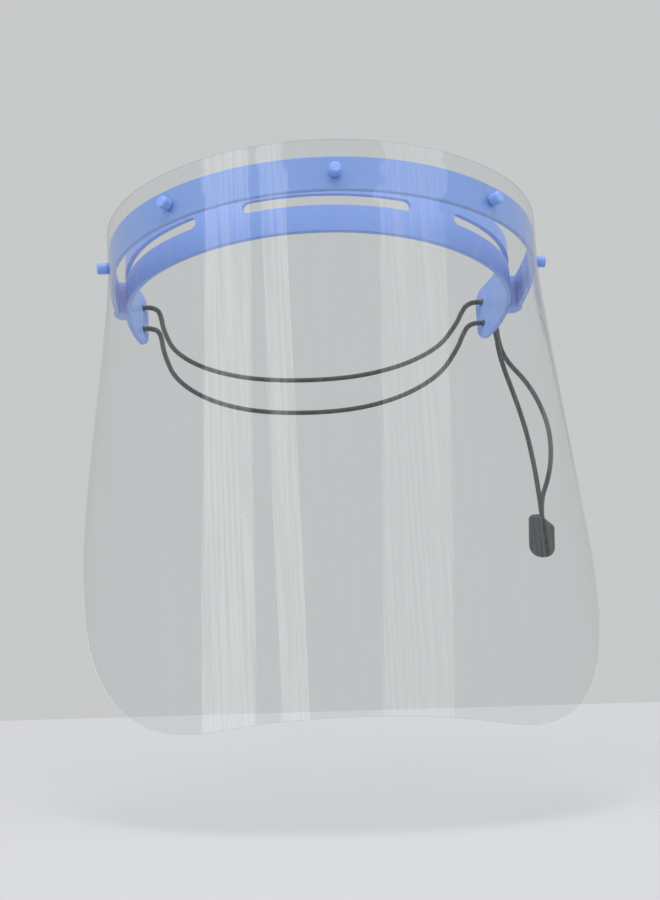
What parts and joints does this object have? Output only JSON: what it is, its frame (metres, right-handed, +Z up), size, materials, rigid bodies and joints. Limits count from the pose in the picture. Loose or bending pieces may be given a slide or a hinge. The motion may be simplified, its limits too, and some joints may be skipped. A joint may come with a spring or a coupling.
{
  "type": "face shield",
  "caption": "Protective face shield: clear flexible visor buttoned on a curved band that stands off a slotted headband, held on the head by an elastic cord with a tail and a cord-end clip.",
  "frame": {"origin": "middle of the head opening: on the plane of symmetry, at the headband's widest point and its mid height", "axes": "as worn: +Z up, -Y forward out of the visor, +X to the wearer's left; the bands are tipped front up about X"},
  "size_m": [0.2054, 0.299, 0.2216],
  "materials": {
    "frame_plastic": "satin moulded blue",
    "visor_sheet": "clear polished sheet",
    "cord": "woven elastic cord, black",
    "clip_plastic": "satin moulded black"
  },
  "bodies": {
    "shield": {"headband": "frame_plastic", "visor_band": "frame_plastic", "visor": "visor_sheet", "strap_upper": "cord", "strap_lower": "cord", "strap_bight": "cord", "tail_outer": "cord", "tail_inner": "cord", "cord_knot": "cord", "clip_left": "clip_plastic"},
    "clip_flap": {"clip_right": "clip_plastic"}
  },
  "joints": [
    {"name": "clip_flap_hinge", "type": "hinge", "parent": "shield", "child": "clip_flap", "pos_m": [0.0989, 0.0396, -0.1002], "axis": [-0.1149, 0, 0.9934], "range_deg": [0, 90]}
  ]
}
